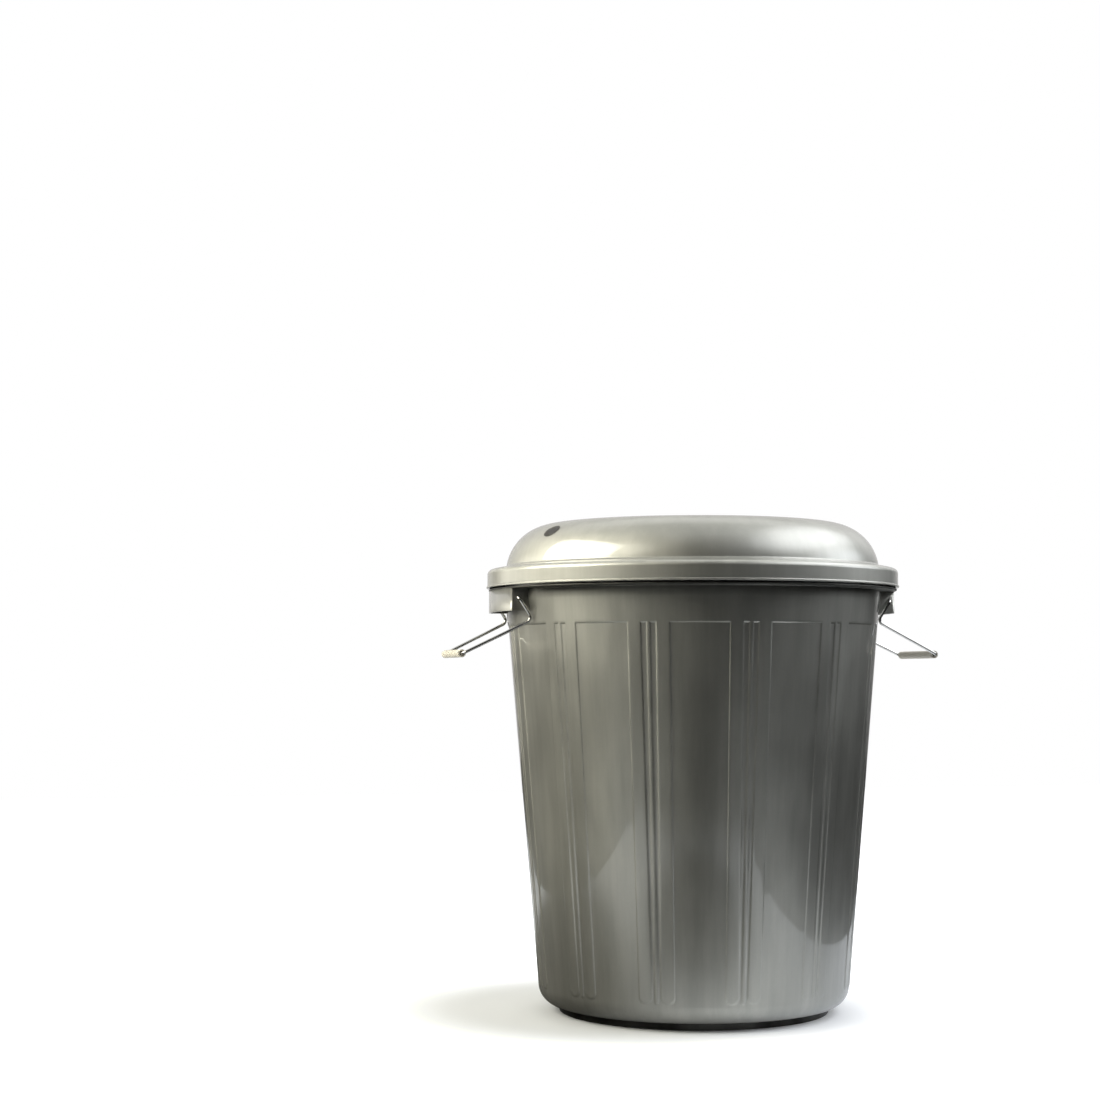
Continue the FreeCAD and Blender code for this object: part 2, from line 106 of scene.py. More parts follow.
def makePiece(name, bm, material, body, node):
    mesh = bpy.data.meshes.new(name)
    bm.to_mesh(mesh)
    bm.free()
    for face in mesh.polygons:
        face.use_smooth = True
    mesh.materials.append(material)
    piece = bpy.data.objects.new(name, mesh)
    bpy.context.scene.collection.objects.link(piece)
    weighted = piece.modifiers.new("faceNormals", "WEIGHTED_NORMAL")
    weighted.keep_sharp = True
    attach(piece, body)
    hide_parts(node)
    print("made", name, len(mesh.polygons), "faces")
    return piece


# node helpers

def addNode(tree, kind, **settings):
    node = tree.nodes.new(kind)
    for key, value in settings.items():
        setattr(node, key, value)
    return node


def setInput(tree, socket, value):
    if isinstance(value, bpy.types.NodeSocket):
        tree.links.new(value, socket)
    else:
        socket.default_value = value


def mathNode(tree, operation, first, second=0.0, clamped=False):
    node = addNode(tree, "ShaderNodeMath", operation=operation, use_clamp=clamped)
    setInput(tree, node.inputs[0], first)
    setInput(tree, node.inputs[1], second)
    return node.outputs[0]


def scaled(tree, value, share):
    return mathNode(tree, "MULTIPLY", value, share)


def remap(tree, value, low, high, toLow=0.0, toHigh=1.0):
    node = addNode(tree, "ShaderNodeMapRange", interpolation_type="SMOOTHSTEP")
    for socket, entry in zip(node.inputs, (value, low, high, toLow, toHigh)):
        setInput(tree, socket, entry)
    return node.outputs[0]


def blendColours(tree, amount, first, second):
    node = addNode(tree, "ShaderNodeMix", data_type="RGBA")
    setInput(tree, node.inputs[0], amount)
    setInput(tree, node.inputs[6], first)
    setInput(tree, node.inputs[7], second)
    return node.outputs[2]


def stretched(tree, vector, scale, turn=(0, 0, 0)):
    node = addNode(tree, "ShaderNodeMapping")
    setInput(tree, node.inputs["Vector"], vector)
    node.inputs["Scale"].default_value = scale
    node.inputs["Rotation"].default_value = [math.radians(a) for a in turn]
    return node.outputs[0]


def noise(tree, vector, scale, detail=2.0, roughness=0.5):
    node = addNode(tree, "ShaderNodeTexNoise")
    setInput(tree, node.inputs["Vector"], vector)
    setInput(tree, node.inputs["Scale"], scale)
    node.inputs["Detail"].default_value = detail
    node.inputs["Roughness"].default_value = roughness
    return node.outputs["Fac"]


def newGroup(name, inputs, outputs):
    tree = bpy.data.node_groups.new(name, "ShaderNodeTree")
    for label, kind in inputs:
        tree.interface.new_socket(name=label, in_out="INPUT", socket_type=kind)
    for label in outputs:
        tree.interface.new_socket(name=label, in_out="OUTPUT", socket_type="NodeSocketFloat")
    return tree, addNode(tree, "NodeGroupInput").outputs, addNode(tree, "NodeGroupOutput").inputs


def placeGroup(tree, group, **values):
    node = addNode(tree, "ShaderNodeGroup", node_tree=group)
    for label, value in values.items():
        setInput(tree, node.inputs[label], value)
    return node.outputs


# look of the shared effects: flow lines and flake, fine scratches, edge wear
flowLook = {"lineStretch": 0.035, "lineDetail": 5.0, "lineRoughness": 0.62, "lineRange": (0.3, 0.7),
            "cloudStretch": 0.45, "cloudDetail": 3.0, "cloudRoughness": 0.55, "cloudRange": (0.28, 0.72),
            "flakeScale": 1500.0}
markLook = {"turns": ((8, 20, 15), (70, -15, 40), (-40, 65, 80)), "stretch": 0.03,
            "streakRange": (0.70, 0.76), "patchScale": 9.0, "patchRange": (0.5, 0.68)}
rubLook = {"scale": 55.0, "detail": 4.0, "roughness": 0.65, "range": (0.38, 0.66)}


def mouldFlowGroup():
    # upright flow lines, cloudy mottle and fine flake of a moulded pearl plastic
    tree, given, out = newGroup(
        "mouldFlow",
        [("Vector", "NodeSocketVector"), ("lineScale", "NodeSocketFloat"), ("cloudScale", "NodeSocketFloat")],
        ["lines", "clouds", "flake"])
    upright = stretched(tree, given["Vector"], (1, 1, flowLook["lineStretch"]))
    lines = noise(tree, upright, given["lineScale"], flowLook["lineDetail"], flowLook["lineRoughness"])
    setInput(tree, out["lines"], remap(tree, lines, *flowLook["lineRange"]))
    drawn = stretched(tree, given["Vector"], (1, 1, flowLook["cloudStretch"]))
    clouds = noise(tree, drawn, given["cloudScale"], flowLook["cloudDetail"], flowLook["cloudRoughness"])
    setInput(tree, out["clouds"], remap(tree, clouds, *flowLook["cloudRange"]))
    setInput(tree, out["flake"], noise(tree, given["Vector"], flowLook["flakeScale"], 1.0))
    return tree


def handlingMarksGroup():
    # short fine scratches in three directions, in patches
    tree, given, out = newGroup(
        "handlingMarks", [("Vector", "NodeSocketVector"), ("scale", "NodeSocketFloat")], ["marks"])
    total = 0.0
    for turn in markLook["turns"]:
        along = stretched(tree, given["Vector"], (1, 1, markLook["stretch"]), turn)
        streak = remap(tree, noise(tree, along, given["scale"]), *markLook["streakRange"])
        total = mathNode(tree, "ADD", streak, total)
    patch = remap(tree, noise(tree, given["Vector"], markLook["patchScale"]), *markLook["patchRange"])
    setInput(tree, out["marks"], mathNode(tree, "MULTIPLY", total, patch, True))
    return tree


def edgeRubGroup():
    # broken wear along raised edges, from the rub attribute of the mesh
    tree, given, out = newGroup(
        "edgeRub", [("Vector", "NodeSocketVector"), ("rub", "NodeSocketFloat")], ["worn"])
    spots = noise(tree, given["Vector"], rubLook["scale"], rubLook["detail"], rubLook["roughness"])
    broken = remap(tree, spots, *rubLook["range"])
    setInput(tree, out["worn"], mathNode(tree, "MULTIPLY", given["rub"], broken, True))
    return tree


mouldFlow = mouldFlowGroup()
handlingMarks = handlingMarksGroup()
edgeRub = edgeRubGroup()


def newMaterial(name):
    material = bpy.data.materials.new(name)
    material.use_nodes = True
    tree = material.node_tree
    shader = tree.nodes["Principled BSDF"]
    spot = addNode(tree, "ShaderNodeTexCoord").outputs["Object"]
    return material, tree, shader, spot


def addBump(tree, shader, height, distance):
    bump = addNode(tree, "ShaderNodeBump")
    bump.inputs["Strength"].default_value = 1.0
    bump.inputs["Distance"].default_value = distance
    setInput(tree, bump.inputs["Height"], height)
    setInput(tree, shader.inputs["Normal"], bump.outputs[0])


def readAttribute(tree, name):
    return addNode(tree, "ShaderNodeAttribute", attribute_name=name).outputs["Fac"]


# pearl-grey moulded plastic of the pail and the lid
pailFinish = {
    "dark": (0.42, 0.42, 0.39, 1), "light": (0.57, 0.57, 0.53, 1), "rubbed": (0.64, 0.64, 0.60, 1),
    # near-black colour of the painted shade, and how patchy it is
    "paintedShade": (0.02, 0.02, 0.018, 1), "paintedShadeLow": 0.9,
    "lineScale": 45.0, "cloudScale": 16.0, "markScale": 260.0,
    "lineShare": 0.55, "cloudShare": 0.45, "flakeShare": 0.5, "wornShare": 0.5,
    "roughLow": 0.42, "roughHigh": 0.48, "markRough": 0.12, "wornRough": 0.08, "metallic": 0.97,
    "coat": 1.0, "markCoat": 0.5, "coatRoughness": 0.04, "coatIor": 1.7,
    "flakeBump": 0.25, "bump": 0.00004,
}
lidFinish = dict(
    pailFinish, dark=(0.44, 0.44, 0.408, 1), light=(0.56, 0.56, 0.523, 1), lineScale=38.0, cloudScale=11.0,
    metallic=0.9, roughLow=0.52, roughHigh=0.58)


def pearlPlastic(name, finish):
    material, tree, shader, spot = newMaterial(name)
    flow = placeGroup(tree, mouldFlow, Vector=spot, lineScale=finish["lineScale"],
                      cloudScale=finish["cloudScale"])
    marks = placeGroup(tree, handlingMarks, Vector=spot, scale=finish["markScale"])["marks"]
    worn = placeGroup(tree, edgeRub, Vector=spot, rub=readAttribute(tree, "rub"))["worn"]
    tone = mathNode(tree, "ADD", scaled(tree, flow["lines"], finish["lineShare"]),
                    scaled(tree, flow["clouds"], finish["cloudShare"]))
    flake = mathNode(tree, "SUBTRACT", flow["flake"], 0.5)   # noise lies about one half
    tone = mathNode(tree, "ADD", tone, scaled(tree, flake, finish["flakeShare"]), True)
    colour = blendColours(tree, tone, finish["dark"], finish["light"])
    colour = blendColours(tree, scaled(tree, worn, finish["wornShare"]), colour, finish["rubbed"])
    # painted shade from the mesh's attribute darkens the colour to near black, patchy with the clouds, and
    # takes the coat away
    patchy = remap(tree, flow["clouds"], 0.0, 1.0, finish["paintedShadeLow"], 1.0)
    paintedShadeMask = mathNode(tree, "MULTIPLY", readAttribute(tree, "paintedShade"), patchy)
    setInput(tree, shader.inputs["Base Color"], blendColours(tree, paintedShadeMask, colour, finish["paintedShade"]))
    rough = remap(tree, flow["clouds"], 0.0, 1.0, finish["roughLow"], finish["roughHigh"])
    rough = mathNode(tree, "ADD", rough, scaled(tree, marks, finish["markRough"]))
    rough = mathNode(tree, "ADD", rough, scaled(tree, worn, finish["wornRough"]))
    setInput(tree, shader.inputs["Roughness"], rough)
    shader.inputs["Metallic"].default_value = finish["metallic"]
    coat = mathNode(tree, "SUBTRACT", finish["coat"], scaled(tree, marks, finish["markCoat"]))
    setInput(tree, shader.inputs["Coat Weight"], mathNode(tree, "SUBTRACT", coat, paintedShadeMask, True))
    shader.inputs["Coat Roughness"].default_value = finish["coatRoughness"]
    shader.inputs["Coat IOR"].default_value = finish["coatIor"]
    height = mathNode(tree, "SUBTRACT", scaled(tree, flow["flake"], finish["flakeBump"]), marks)
    addBump(tree, shader, height, finish["bump"])
    return material


# bright plated wire
wireFinish = {"bright": (0.80, 0.79, 0.77, 1), "dull": (0.52, 0.51, 0.49, 1), "roughLow": 0.10,
              "roughHigh": 0.26, "speckScale": 420.0, "speckShare": 0.7, "hazeScale": 38.0,
              "grainScale": 900.0, "bump": 0.00003}


def platedWire(name, finish):
    material, tree, shader, spot = newMaterial(name)
    specks = remap(tree, noise(tree, spot, finish["speckScale"], 3.0, 0.6), 0.52, 0.72)
    haze = remap(tree, noise(tree, spot, finish["hazeScale"]), 0.35, 0.7)
    dulled = scaled(tree, specks, finish["speckShare"])
    setInput(tree, shader.inputs["Base Color"], blendColours(tree, dulled, finish["bright"], finish["dull"]))
    rough = remap(tree, haze, 0.0, 1.0, finish["roughLow"], finish["roughHigh"])
    setInput(tree, shader.inputs["Roughness"], rough)
    shader.inputs["Metallic"].default_value = 1.0
    addBump(tree, shader, noise(tree, spot, finish["grainScale"]), finish["bump"])
    return material


# cream plastic of the tube grips
gripFinish = {"cream": (0.79, 0.75, 0.665, 1), "shade": (0.74, 0.70, 0.61, 1), "grime": (0.50, 0.45, 0.36, 1),
              "roughLow": 0.50, "roughHigh": 0.60, "specular": 0.25, "drawnOut": 0.1, "streakScale": 220.0,
              "markScale": 600.0, "wornShare": 0.12, "markShare": 0.08, "grainScale": 300.0, "bump": 0.00001}


def creamPlastic(name, finish):
    material, tree, shader, spot = newMaterial(name)
    drawn = stretched(tree, spot, (1, finish["drawnOut"], 1))   # streaks along the tube
    clouds = remap(tree, noise(tree, drawn, finish["streakScale"]), 0.3, 0.7)
    worn = placeGroup(tree, edgeRub, Vector=spot, rub=readAttribute(tree, "rub"))["worn"]
    marks = placeGroup(tree, handlingMarks, Vector=spot, scale=finish["markScale"])["marks"]
    colour = blendColours(tree, clouds, finish["cream"], finish["shade"])
    grime = mathNode(tree, "ADD", scaled(tree, worn, finish["wornShare"]),
                     scaled(tree, marks, finish["markShare"]), True)
    setInput(tree, shader.inputs["Base Color"], blendColours(tree, grime, colour, finish["grime"]))
    rough = remap(tree, clouds, 0.0, 1.0, finish["roughLow"], finish["roughHigh"])
    setInput(tree, shader.inputs["Roughness"], rough)
    shader.inputs["Specular IOR Level"].default_value = finish["specular"]
    addBump(tree, shader, noise(tree, drawn, finish["grainScale"], 1.0), finish["bump"])
    return material


# dark film of the blank label
filmFinish = {"film": (0.012, 0.011, 0.010, 1), "faded": (0.045, 0.042, 0.036, 1),
              "rim": (0.10, 0.095, 0.08, 1), "roughLow": 0.28, "roughHigh": 0.5, "cloudScale": 240.0,
              "bump": 0.00003}


def darkFilm(name, finish):
    material, tree, shader, spot = newMaterial(name)
    clouds = remap(tree, noise(tree, spot, finish["cloudScale"], 4.0, 0.6), 0.35, 0.7)
    worn = placeGroup(tree, edgeRub, Vector=spot, rub=readAttribute(tree, "rub"))["worn"]
    colour = blendColours(tree, clouds, finish["film"], finish["faded"])
    setInput(tree, shader.inputs["Base Color"], blendColours(tree, worn, colour, finish["rim"]))
    rough = remap(tree, clouds, 0.0, 1.0, finish["roughLow"], finish["roughHigh"])
    setInput(tree, shader.inputs["Roughness"], rough)
    addBump(tree, shader, clouds, finish["bump"])
    return material


print("materials ready")


# pail: tapered wall with raised strips in pairs, plain top band, ring shelf, collar, foot ring
pail = {
    "baseRadius": 177.4, "lean": 4.88, "wall": 3.0, "height": 508.2,
    "bottom": 7.5, "bottomThickness": 3.0, "baseRound": 23.0, "footInset": 1.0, "footWidth": 4.0,
    "collar": 23.4, "shelfThickness": 2.0, "shelfOut": 18.6,
    "pairs": 12, "stripWidth": 15.0, "beadWidth": 4.2, "groove": 2.73, "relief": 0.9, "stripRise": 2.5,
    "bandDepth": 42.2,
    "slope": 1.9,               # width of the sloping sides of strips and panels
    "stripColumns": 6, "panelColumns": 5, "footRows": 13, "wallRows": 16, "kneeClear": 1.5,
    "ringRound": 0.8, "ringOuterRound": 0.6, "ringInnerRound": 1.5, "floorRing": 60.0,
    "bandStart": 3.0, "bandEnd": 12.0, "shelfRound": 0.8, "cornerRound": 1.2,
    # shallow sink waves of the moulded wall: count round, length and phase of each
    "waveDepth": 0.12, "waves": ((5, 61, 0.0), (11, -43, 1.3)),
    "waveStart": 20.0, "waveFade": 40.0, "waveEnd": 14.0,
    # painted shade along the shelf's edge and in the corner under it
    "shelfPaintedShade": 0.9, "cornerPaintedShade": 0.7, "paintedShadeReach": 1.5,
}
leanTan = math.tan(math.radians(pail["lean"]))


def wallRadius(height):
    return pail["baseRadius"] + height * leanTan


baseTangent = pail["baseRound"] / math.tan(math.radians(45 + pail["lean"] / 2))
baseCorner = wallRadius(pail["bottom"]) - pail["relief"]
footRadius = baseCorner - baseTangent - pail["footInset"]
wallStart = pail["bottom"] + baseTangent * math.cos(math.radians(pail["lean"]))
stripFoot = wallStart + pail["stripRise"]
shelfTop = pail["height"] - pail["collar"]
shelfUnder = shelfTop - pail["shelfThickness"]
shelfRadius = wallRadius(shelfTop) + pail["shelfOut"]
bandFoot = shelfTop - pail["bandDepth"]
stripKnee = stripFoot + pail["stripWidth"] / 2
beadKnee = stripFoot + pail["beadWidth"] / 2
outerLow = pail["beadWidth"] / 2 + pail["groove"] + pail["stripWidth"]
outerHigh = outerLow * wallRadius(bandFoot) / wallRadius(stripKnee)


def stripOuter(height):
    # outer edge of a strip, which leans out with the taper
    share = clamp((height - stripKnee) / (bandFoot - stripKnee))
    return outerLow + (outerHigh - outerLow) * share


def raisedShare(offset, height):
    # 1 on strips, bead and top band, 0 on the panels, sloping between
    offset = abs(offset)
    middle = stripOuter(height) - pail["stripWidth"] / 2
    below = max(0.0, stripKnee - height)
    strip = pail["stripWidth"] / 2 - math.hypot(offset - middle, below)
    bead = pail["beadWidth"] / 2 - math.hypot(offset, max(0.0, beadKnee - height))
    return smoothStep(max(strip, bead, height - bandFoot) / pail["slope"] + 0.5)


def aroundEdge(edge):
    half = pail["slope"] / 2
    return [edge - half, edge - half / 3, edge + half / 3, edge + half]


def columnAngles(height):
    # angles of the mesh columns from the middle of a strip pair to the middle of a panel
    radius = wallRadius(height)
    outer = stripOuter(height)
    inner = outer - pail["stripWidth"]
    half = pail["slope"] / 2
    across = [0.0] + aroundEdge(pail["beadWidth"] / 2) + aroundEdge(inner)
    across += spread(inner + half, outer - half, pail["stripColumns"])[1:-1] + aroundEdge(outer)
    angles = [math.asin(a / radius) for a in across]
    return angles + spread(angles[-1], math.pi / pail["pairs"], pail["panelColumns"])[1:]


halfColumns = len(columnAngles(bandFoot)) - 1    # mesh columns in half a pitch


def pailPath():
    relief = pail["relief"]
    half = pail["slope"] / 2
    knee = stripKnee + pail["kneeClear"]
    rows = spread(stripFoot - half, knee, pail["footRows"])
    rows += spread(knee, bandFoot - half, pail["wallRows"])[1:] + aroundEdge(bandFoot)[1:]
    footInner = footRadius - pail["footWidth"]
    floorTop = pail["bottom"] + pail["bottomThickness"]
    lower = roundedPath([
        (0, pail["bottom"]), (footInner, pail["bottom"], pail["ringInnerRound"]),
        (footInner, 0, pail["ringRound"]), (footRadius, 0, pail["ringRound"]),
        (footRadius, pail["bottom"], pail["ringOuterRound"]),
        (baseCorner, pail["bottom"], pail["baseRound"]),
        (wallRadius(rows[0]) - relief, rows[0])], 6)
    wall = [(wallRadius(h) - relief, h) for h in rows[1:]]
    top = pail["height"]
    inner = -pail["wall"]
    edge, corner = pail["shelfRound"], pail["cornerRound"]
    bandLow = bandFoot + pail["bandStart"]
    bandHigh = shelfUnder - pail["bandEnd"]
    upper = roundedPath([
        (wallRadius(bandLow), bandLow), (wallRadius(bandHigh), bandHigh),
        (wallRadius(shelfUnder), shelfUnder, corner), (shelfRadius, shelfUnder, edge),
        (shelfRadius, shelfTop, edge), (wallRadius(shelfTop), shelfTop, corner),
        (wallRadius(top), top, corner), (wallRadius(top) + inner, top, corner),
        (wallRadius(bandFoot) + inner, bandFoot), (wallRadius(stripKnee) + inner, stripKnee),
        (wallRadius(floorTop) + inner, floorTop, pail["baseRound"] - pail["wall"]),
        (pail["floorRing"], floorTop), (0, floorTop)], 15)
    return lower + wall + upper


def shapeWall(bm):
    # draws the columns to the strip edges, then raises the strips and lets the wall wave a little
    rub = bm.verts.layers.float.new("rub")
    paintedShade = bm.verts.layers.float.new("paintedShade")
    half = halfColumns
    pitch = fullTurn / pail["pairs"]
    angles = {}
    for vert in bm.verts:
        radius = math.hypot(vert.co.x, vert.co.y) / mm
        height = vert.co.z / mm
        # painted shade: the foot ring, the shelf's edge and the corner under the shelf are darkened to near
        # black in the colour
        if radius < footRadius + 0.5 and height < pail["bottom"] + 0.5:
            vert[paintedShade] = 1
        if radius > shelfRadius - pail["paintedShadeReach"]:
            vert[paintedShade] = pail["shelfPaintedShade"]
        elif abs(height - shelfUnder) < pail["paintedShadeReach"] and radius > wallRadius(height) - 1:
            vert[paintedShade] = pail["cornerPaintedShade"]
        if radius < 1:
            continue
        row = round(clamp(height, stripFoot, bandFoot), 3)
        if row not in angles:
            angles[row] = columnAngles(row)
        column = round(math.atan2(vert.co.y, vert.co.x) / pitch * 2 * half)
        pair, place = divmod(column, 2 * half)
        angle = angles[row][place] if place <= half else pitch - angles[row][2 * half - place]
        outside = radius > wallRadius(height) - pail["wall"] / 2
        if outside and wallStart - 0.1 < height < bandFoot + pail["slope"]:
            near = angle if place <= half else angle - pitch
            share = raisedShare(wallRadius(height) * math.sin(near), height)
            if height < bandFoot + pail["slope"] / 2 + 0.1:
                radius += pail["relief"] * share
            vert[rub] = 4 * share * (1 - share)
        angle += pair * pitch
        if outside and height < shelfUnder - pail["waveEnd"]:
            fade = smoothStep((height - pail["waveStart"]) / pail["waveFade"])
            wave = sum(math.sin(count * angle + height / length + phase) - 1
                       for count, length, phase in pail["waves"])
            radius += pail["waveDepth"] / len(pail["waves"]) * fade * wave
        if radius > shelfRadius - 1 or height > pail["height"] - 1:
            vert[rub] = 1
        vert.co.x = radius * mm * math.cos(angle)
        vert.co.y = radius * mm * math.sin(angle)
    bmesh.ops.recalc_face_normals(bm, faces=bm.faces)


# lugs: open-bottomed boxes under the ring shelf that hold the ends of the bails
lug = {"setback": 0.4, "halfWidth": 59.0, "height": 25.2, "wall": 2.4, "cornerRound": 2.6, "edgeRound": 0.7,
       "pivotInset": 7.2, "pivotRise": 15.0, "holeRadius": 1.8, "holeSides": 32, "frontSteps": 20}
lugRadius = shelfRadius - lug["setback"]
lugUnder = shelfUnder - lug["height"]
pivotAcross = math.sqrt(lugRadius ** 2 - lug["halfWidth"] ** 2) - lug["pivotInset"]
pivotUp = lugUnder + lug["pivotRise"]


def lugWall():
    root = wallRadius((shelfUnder + lugUnder) / 2) - pail["wall"] / 2

    def side(radius, halfWidth, rounding):
        limit = math.degrees(math.asin(halfWidth / radius))
        front = arcRun((0, 0), radius, -limit, limit, lug["frontSteps"])
        start = (math.sqrt(root ** 2 - halfWidth ** 2), -halfWidth)
        finish = (start[0], halfWidth)
        corners = [start, (*front[0], rounding), *front[1:-1], (*front[-1], rounding), finish]
        return roundedPath(corners, 15)

    outside = side(lugRadius, lug["halfWidth"], lug["cornerRound"])
    inside = side(*[lugSize - lug["wall"] for lugSize in (lugRadius, lug["halfWidth"], lug["cornerRound"])])
    bm = bmesh.new()
    lowest = lugUnder * mm
    sole = bm.faces.new([bm.verts.new((x * mm, y * mm, lowest)) for x, y in outside + inside[::-1]])
    raised = bmesh.ops.extrude_face_region(bm, geom=[sole])["geom"]
    rise = (lug["height"] + pail["shelfThickness"] / 2) * mm
    upper = [g for g in raised if isinstance(g, bmesh.types.BMVert)]
    bmesh.ops.translate(bm, verts=upper, vec=(0, 0, rise))
    bmesh.ops.recalc_face_normals(bm, faces=bm.faces)
    rim = [e for e in bm.edges if all(abs(v.co.z - lowest) < 1e-7 for v in e.verts)]
    bmesh.ops.bevel(bm, geom=rim, offset=lug["edgeRound"] * mm, offset_type="OFFSET", affect="EDGES",
                    segments=3, profile=0.5, material=-1, clamp_overlap=True)
    return bm


def drilled(bm):
    # cuts the pivot hole through both side walls
    solid = bpy.data.meshes.new("lugSolid")
    bm.to_mesh(solid)
    bm.free()
    pin = bmesh.new()
    bmesh.ops.create_cone(pin, cap_ends=True, segments=lug["holeSides"], depth=3 * lug["halfWidth"] * mm,
                          radius1=lug["holeRadius"] * mm, radius2=lug["holeRadius"] * mm)
    bmesh.ops.rotate(pin, verts=pin.verts, cent=(0, 0, 0), matrix=Matrix.Rotation(math.pi / 2, 3, "X"))
    bmesh.ops.translate(pin, verts=pin.verts, vec=(pivotAcross * mm, 0, pivotUp * mm))
    drill = bpy.data.meshes.new("lugDrill")
    pin.to_mesh(drill)
    pin.free()
    blank = bpy.data.objects.new("lugBlank", solid)
    tool = bpy.data.objects.new("lugTool", drill)
    for item in (blank, tool):
        bpy.context.scene.collection.objects.link(item)
    cut = blank.modifiers.new("hole", "BOOLEAN")
    cut.operation = "DIFFERENCE"
    cut.object = tool
    ready = bpy.data.meshes.new_from_object(blank.evaluated_get(bpy.context.evaluated_depsgraph_get()))
    for item in (blank, tool):
        bpy.data.objects.remove(item)
    return ready


pailPlastic = pearlPlastic("pailPlastic", pailFinish)
lidPlastic = pearlPlastic("lidPlastic", lidFinish)
pailMesh = spunShell(pailPath(), 2 * pail["pairs"] * halfColumns)
shapeWall(pailMesh)
lugMesh = drilled(lugWall())
for turn in (0, math.pi):
    lugMesh.transform(Matrix.Rotation(turn, 4, "Z"))
    pailMesh.from_mesh(lugMesh)
makePiece("ribbedPail", pailMesh, pailPlastic, "drum", "drum_body")


# lid: lip, skirt, sloping ledge, rounded shoulder, crowned top and a ring underneath
lid = {"overhang": 2.6, "thickness": 2.4, "lipHeight": 2.4, "lipDepth": 1.1, "skirtGap": 1.6, "seatGap": 0.3,
       "ledgeSlope": 11.5, "skirtRound": 6.0, "domeInset": 4.0, "domeLean": 7.5, "shoulder": 56.7,
       "crownSlope": 2.3, "footRound": 2.5, "spigotDepth": 10.0, "spigotClearance": 0.8, "columns": 288,
       "skirtFootRound": 0.6, "lipLowRound": 0.7, "lipHighRound": 0.9, "lipStepRound": 0.5,
       "spigotRound": 0.8, "skirtInside": 3.0, "shoulderSteps": 22, "crownSteps": 10,
       "rubLip": 0.8, "rubSkirt": 4.0, "rubDrop": 5.0}
lidSeat = pail["height"] + lid["seatGap"]
lidRadius = shelfRadius + lid["overhang"]
skirtRadius = lidRadius - lid["lipDepth"]
seatRadius = wallRadius(pail["height"])
domeFoot = seatRadius - lid["domeInset"]
ledgeTan = math.tan(math.radians(lid["ledgeSlope"]))


def ledgeUnder(radius):
    return lidSeat + (seatRadius - radius) * ledgeTan


def ledgeTop(radius):
    return ledgeUnder(radius) + lid["thickness"] / math.cos(math.radians(lid["ledgeSlope"]))


shoulderAcross = domeFoot - lid["shoulder"] * math.cos(math.radians(lid["domeLean"]))
shoulderUp = ledgeTop(domeFoot) - lid["shoulder"] * math.sin(math.radians(lid["domeLean"]))


def domeRun(inset):
    # shoulder arc and crown, from the foot up to the axis
    crown = math.radians(lid["crownSlope"])
    crownStart = 90 - lid["crownSlope"]
    arc = arcRun((shoulderAcross, shoulderUp), lid["shoulder"] - inset, lid["domeLean"], crownStart,
                 lid["shoulderSteps"])
    radius = shoulderAcross / math.sin(crown) + lid["shoulder"] - inset
    middle = shoulderUp - shoulderAcross / math.tan(crown)
    return arc + arcRun((0, middle), radius, crownStart, 90, lid["crownSteps"])[1:]


def lidPath():
    skirtLow = shelfTop + lid["skirtGap"]
    lipTop = skirtLow + lid["lipHeight"]
    skirtInner = skirtRadius - lid["thickness"]
    mouth = wallRadius(pail["height"] - lid["spigotDepth"])
    spigot = mouth - pail["wall"] - lid["spigotClearance"]
    spigotInner = spigot - lid["thickness"]
    spigotLow = lidSeat - lid["spigotDepth"]
    dome = domeRun(0)
    under = domeRun(lid["thickness"])
    foot = lid["skirtFootRound"]
    ring = lid["spigotRound"]
    start = (skirtInner, skirtLow + foot)
    outside = [
        start, (skirtInner, skirtLow, foot), (lidRadius, skirtLow, lid["lipLowRound"]),
        (lidRadius, lipTop, lid["lipHighRound"]), (skirtRadius, lipTop, lid["lipStepRound"]),
        (skirtRadius, ledgeTop(skirtRadius), lid["skirtRound"]), (*dome[0], lid["footRound"]), *dome[1:]]
    inside = [
        *under[::-1], (spigotInner, lidSeat, ring), (spigotInner, spigotLow, ring),
        (spigot, spigotLow, ring), (spigot, ledgeUnder(spigot), ring),
        (skirtInner, ledgeUnder(skirtInner), lid["skirtRound"] - lid["thickness"]),
        (skirtInner, skirtLow + lid["skirtInside"]), start]
    return roundedPath(outside, 10) + roundedPath(inside, 15)


lidMesh = spunShell(lidPath(), lid["columns"])
lidRub = lidMesh.verts.layers.float.new("rub")
for vert in lidMesh.verts:
    reach = math.hypot(vert.co.x, vert.co.y) / mm
    onLip = reach > lidRadius - lid["rubLip"]
    onShoulder = reach > skirtRadius - lid["rubSkirt"] and vert.co.z / mm > lidSeat - lid["rubDrop"]
    if onLip or onShoulder:
        vert[lidRub] = 1
makePiece("domedLid", lidMesh, lidPlastic, "lid", "lid")


# blank oval label, a thin film on the lid's shoulder
label = {"halfLength": 12.0, "halfHeight": 9.5, "thickness": 0.3, "climb": 49.0, "azimuth": -159.5,
         "rings": 6, "ringStep": 0.04, "sides": 64, "sink": 0.05, "rimStart": 0.88, "rimWidth": 0.1}


